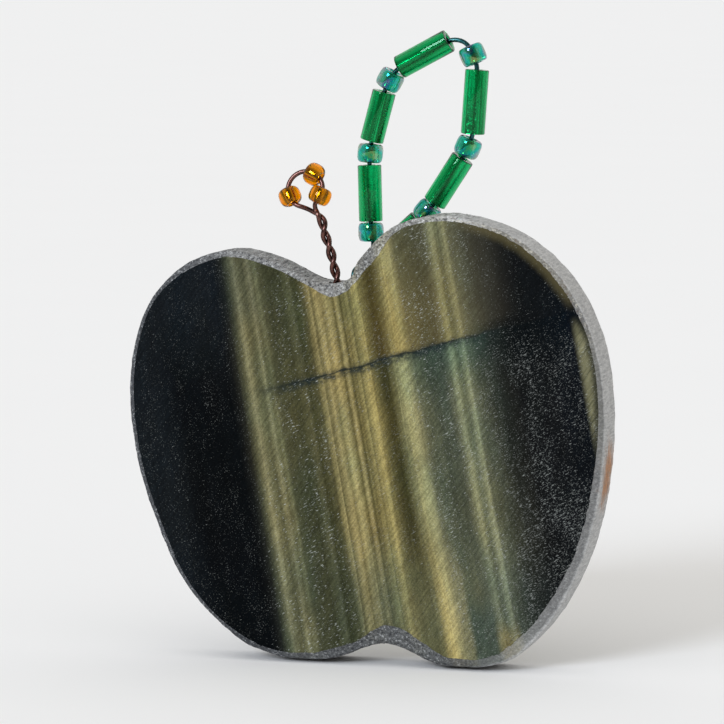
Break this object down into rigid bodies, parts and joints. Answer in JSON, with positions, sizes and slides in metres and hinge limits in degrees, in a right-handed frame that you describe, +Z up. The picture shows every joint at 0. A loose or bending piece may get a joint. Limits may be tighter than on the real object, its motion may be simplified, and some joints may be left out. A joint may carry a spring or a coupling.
{
  "type": "stone apple ornament",
  "caption": "Apple-shaped slab of polished banded stone standing on its lower lobes, with a twisted wire stem that ends in a ring of amber beads and a wire leaf strung with green glass beads.",
  "frame": {"origin": "middle of the bounding box at the height of the flats the slab stands on", "axes": "+Z up, -Y out of the polished face, +X to the right when the polished face is looked at, so the leaf is on the +X side"},
  "size_m": [0.0512, 0.009, 0.066],
  "materials": {
    "banded_stone": "polished chatoyant face with gold and blue-black bands, ground grey edge",
    "cement": "cured clear adhesive, hidden in the drilled holes",
    "copper_wire": "dark copper wire, semi-bright",
    "teal_wire": "teal enamelled copper wire, bright",
    "amber_glass": "transparent amber glass, glossy",
    "green_glass": "green glass tube with a silvered square bore, glossy",
    "rainbow_glass": "transparent green glass with an iridescent coat, glossy"
  },
  "bodies": {
    "apple": {"apple_slab": "banded_stone", "stem_cement": "cement", "leaf_cement": "cement", "stem_wire": "copper_wire", "leaf_wire": "teal_wire"},
    "stem_bead_left": {"stem_bead_left": "amber_glass"},
    "stem_bead_top": {"stem_bead_top": "amber_glass"},
    "stem_bead_right": {"stem_bead_right": "amber_glass"},
    "leaf_seed_1": {"leaf_seed_1": "rainbow_glass"},
    "leaf_bugle_1": {"leaf_bugle_1": "green_glass"},
    "leaf_seed_2": {"leaf_seed_2": "rainbow_glass"},
    "leaf_bugle_2": {"leaf_bugle_2": "green_glass"},
    "leaf_seed_3": {"leaf_seed_3": "rainbow_glass"},
    "leaf_bugle_3": {"leaf_bugle_3": "green_glass"},
    "leaf_seed_4": {"leaf_seed_4": "rainbow_glass"},
    "leaf_bugle_4": {"leaf_bugle_4": "green_glass"},
    "leaf_seed_5": {"leaf_seed_5": "rainbow_glass"},
    "leaf_bugle_5": {"leaf_bugle_5": "green_glass"},
    "leaf_seed_6": {"leaf_seed_6": "rainbow_glass"},
    "leaf_bugle_6": {"leaf_bugle_6": "green_glass"}
  },
  "joints": [
    {"name": "stem_bead_left_spin", "type": "hinge", "parent": "apple", "child": "stem_bead_left", "pos_m": [-0.00831, -0.00261, 0.04881], "axis": [0.454, -0.2306, -0.8606], "continuous": true},
    {"name": "stem_bead_top_round_ring", "type": "hinge", "parent": "apple", "child": "stem_bead_top", "pos_m": [-0.00673, -0.0024, 0.04959], "axis": [0, -0.9659, 0.2588], "range_deg": [0, 60]},
    {"name": "stem_bead_right_spin", "type": "hinge", "parent": "apple", "child": "stem_bead_right", "pos_m": [-0.00508, -0.00257, 0.04895], "axis": [0.3746, 0.24, 0.8956], "continuous": true},
    {"name": "leaf_seed_1_spin", "type": "hinge", "parent": "apple", "child": "leaf_seed_1", "pos_m": [-0.0012, 0.00315, 0.04485], "axis": [-0.0174, 0, 0.9998], "continuous": true},
    {"name": "leaf_bugle_1_spin", "type": "hinge", "parent": "apple", "child": "leaf_bugle_1", "pos_m": [-0.00129, 0.00315, 0.04894], "axis": [-0.0262, 0, 0.9997], "continuous": true},
    {"name": "leaf_seed_2_spin", "type": "hinge", "parent": "apple", "child": "leaf_seed_2", "pos_m": [-0.00128, 0.00315, 0.05313], "axis": [0.0872, 0, 0.9962], "continuous": true},
    {"name": "leaf_bugle_2_spin", "type": "hinge", "parent": "apple", "child": "leaf_bugle_2", "pos_m": [-0.00044, 0.00315, 0.05699], "axis": [0.2588, 0, 0.9659], "continuous": true},
    {"name": "leaf_seed_3_spin", "type": "hinge", "parent": "apple", "child": "leaf_seed_3", "pos_m": [0.00088, 0.00315, 0.0608], "axis": [0.5, 0, 0.866], "continuous": true},
    {"name": "leaf_bugle_3_spin", "type": "hinge", "parent": "apple", "child": "leaf_bugle_3", "pos_m": [0.00456, 0.00315, 0.06352], "axis": [0.8829, 0, 0.4695], "continuous": true},
    {"name": "leaf_seed_4_spin", "type": "hinge", "parent": "apple", "child": "leaf_seed_4", "pos_m": [0.00977, 0.00315, 0.06348], "axis": [-0.4067, 0, 0.9135], "continuous": true},
    {"name": "leaf_bugle_4_spin", "type": "hinge", "parent": "apple", "child": "leaf_bugle_4", "pos_m": [0.01002, 0.00315, 0.05861], "axis": [0.0698, 0, 0.9976], "continuous": true},
    {"name": "leaf_seed_5_spin", "type": "hinge", "parent": "apple", "child": "leaf_seed_5", "pos_m": [0.00928, 0.00315, 0.0539], "axis": [0.4067, 0, 0.9135], "continuous": true},
    {"name": "leaf_bugle_5_spin", "type": "hinge", "parent": "apple", "child": "leaf_bugle_5", "pos_m": [0.00721, 0.00315, 0.05039], "axis": [0.5446, 0, 0.8387], "continuous": true},
    {"name": "leaf_seed_6_spin", "type": "hinge", "parent": "apple", "child": "leaf_seed_6", "pos_m": [0.0049, 0.00315, 0.04707], "axis": [0.6428, 0, 0.766], "continuous": true},
    {"name": "leaf_bugle_6_spin", "type": "hinge", "parent": "apple", "child": "leaf_bugle_6", "pos_m": [0.00184, 0.00315, 0.04411], "axis": [0.7431, 0, 0.6691], "continuous": true}
  ]
}
